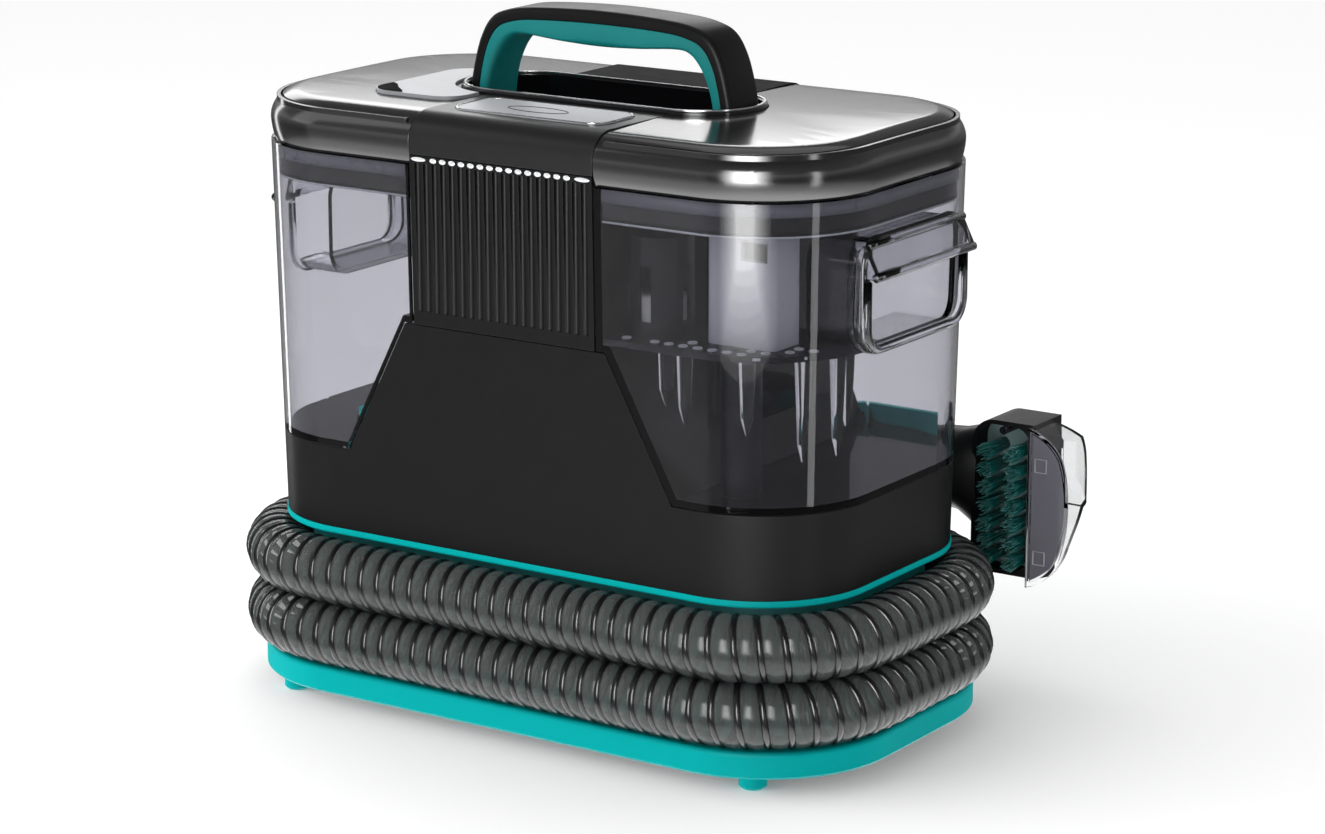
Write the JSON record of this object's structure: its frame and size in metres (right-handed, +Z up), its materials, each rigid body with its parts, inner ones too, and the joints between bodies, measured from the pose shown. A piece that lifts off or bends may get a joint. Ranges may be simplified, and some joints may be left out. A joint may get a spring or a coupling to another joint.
{
  "type": "portable carpet spot cleaner",
  "caption": "Portable carpet and upholstery cleaner: two smoke-clear tanks on a black body with a carrying handle, suction hose wound round its teal base, brush tool at the back.",
  "frame": {"origin": "middle of the footprint, on the surface that the feet stand on", "axes": "+X along the long side, from the clean tank to the dirty tank; +Y to the back, away from the fluted panel; +Z up"},
  "size_m": [0.3527, 0.2257, 0.3073],
  "materials": {
    "teal_plastic": "satin moulded",
    "dark_teal_plastic": "satin moulded, shaded recess",
    "black_satin_plastic": "fine satin texture",
    "black_gloss_plastic": "polished",
    "lid_plastic": "semi-gloss graphite",
    "silver_trim": "bright",
    "button_plastic": "satin silver grey",
    "teal_rubber": "soft-touch matte",
    "black_rubber": "matte",
    "smoke_clear_plastic": "smoke-tinted clear",
    "clear_plastic": "clear",
    "dark_inner_plastic": "satin",
    "grey_inner_plastic": "satin grey",
    "hose_smoke": "translucent corrugated",
    "brush_plate_plastic": "satin",
    "brush_bristle": "nylon filament tufts",
    "steel": "zinc plated",
    "motor_metal": "grey",
    "copper": "enamelled winding and shaft",
    "board_green": "solder mask",
    "pump_plastic": "glass-filled"
  },
  "bodies": {
    "chassis": {"base_plate": "teal_plastic", "base_screws": "steel", "brush_plate": "brush_plate_plastic", "brush_tufts": "brush_bristle", "clean_tank_seat": "black_rubber", "control_board": "board_green", "cord_inlet": "black_rubber", "dirty_tank_seat": "black_rubber", "dish_trim_ring": "silver_trim", "fan_housing": "dark_inner_plastic", "feet": "teal_plastic", "front_flute_panel": "black_satin_plastic", "front_top_cover": "black_satin_plastic", "handle_bolts": "steel", "handle_cover": "black_satin_plastic", "handle_dish": "black_gloss_plastic", "handle_grip": "teal_rubber", "hose_coil": "hose_smoke", "hose_cuff": "black_rubber", "hose_lead": "hose_smoke", "hose_port": "black_satin_plastic", "hose_waist": "dark_teal_plastic", "lower_shell": "black_satin_plastic", "motor_mount_ring": "black_rubber", "motor_stator": "motor_metal", "power_switch": "dark_inner_plastic", "pump_body": "pump_plastic", "rear_louvre_panel": "black_satin_plastic", "rear_top_cover": "black_satin_plastic", "recovery_duct": "dark_inner_plastic", "spray_nozzle": "dark_inner_plastic", "suction_window": "clear_plastic", "tool_cradle": "teal_plastic", "tool_handle_inner_half": "black_satin_plastic", "tool_handle_outer_half": "black_satin_plastic", "tool_head": "black_satin_plastic", "tower_shell": "black_satin_plastic", "trigger_pin": "steel", "upper_flange": "teal_plastic", "water_tube": "clear_plastic"},
    "power_button": {"power_button": "button_plastic"},
    "clean_tank": {"clean_tank": "smoke_clear_plastic"},
    "clean_lid": {"clean_tank_lid": "lid_plastic", "clean_lid_seal": "black_rubber", "flap_hinge_pin": "steel"},
    "filler_flap": {"filler_flap": "button_plastic"},
    "clean_valve": {"clean_tank_valve": "teal_plastic"},
    "dirty_tank": {"dirty_tank": "smoke_clear_plastic", "dirty_tank_standpipe": "dark_inner_plastic", "separator_plate": "dark_inner_plastic", "drip_tubes": "clear_plastic", "float_cage": "dark_inner_plastic", "inlet_deflector": "grey_inner_plastic"},
    "dirty_lid": {"dirty_tank_lid": "lid_plastic", "dirty_lid_seal": "black_rubber"},
    "shutoff_float": {"shutoff_float": "pump_plastic"},
    "spray_trigger": {"spray_trigger": "teal_plastic"},
    "motor_rotor": {"motor_rotor": "copper"},
    "pump_plunger": {"pump_plunger": "steel"}
  },
  "joints": [
    {"name": "power_button_press", "type": "slide", "parent": "chassis", "child": "power_button", "axis": [0, 0, -1], "range_m": [0, 0.0015], "stiffness_N_per_m": 600, "springref_m": -0.0005},
    {"name": "clean_tank_lift", "type": "slide", "parent": "chassis", "child": "clean_tank", "axis": [0, 0, 1], "range_m": [0, 0.08]},
    {"name": "clean_lid_lift", "type": "slide", "parent": "clean_tank", "child": "clean_lid", "axis": [0, 0, 1], "range_m": [0, 0.03]},
    {"name": "filler_flap_open", "type": "hinge", "parent": "clean_lid", "child": "filler_flap", "pos_m": [-0.0868, 0.0195, 0.2675], "axis": [-1, 0, 0], "range_deg": [0, 75]},
    {"name": "clean_valve_open", "type": "slide", "parent": "clean_tank", "child": "clean_valve", "axis": [0, 0, 1], "range_m": [0, 0.004], "stiffness_N_per_m": 40, "springref_m": -0.001},
    {"name": "dirty_tank_lift", "type": "slide", "parent": "chassis", "child": "dirty_tank", "axis": [0, 0, 1], "range_m": [0, 0.08]},
    {"name": "dirty_lid_lift", "type": "slide", "parent": "dirty_tank", "child": "dirty_lid", "axis": [0, 0, 1], "range_m": [0, 0.03]},
    {"name": "float_rise", "type": "slide", "parent": "dirty_tank", "child": "shutoff_float", "axis": [0, 0, 1], "range_m": [0, 0.02]},
    {"name": "trigger_squeeze", "type": "hinge", "parent": "chassis", "child": "spray_trigger", "pos_m": [0.062, 0.121, 0.097], "axis": [0, 0, 1], "range_deg": [0, 5], "stiffness_Nm_per_rad": 0.6, "springref_deg": -2.86},
    {"name": "rotor_spin", "type": "hinge", "parent": "chassis", "child": "motor_rotor", "pos_m": [0, 0, 0.13], "axis": [0, 0, 1], "continuous": true},
    {"name": "pump_stroke", "type": "slide", "parent": "chassis", "child": "pump_plunger", "axis": [1, 0, 0], "range_m": [-0.004, 0.004], "stiffness_N_per_m": 300}
  ]
}
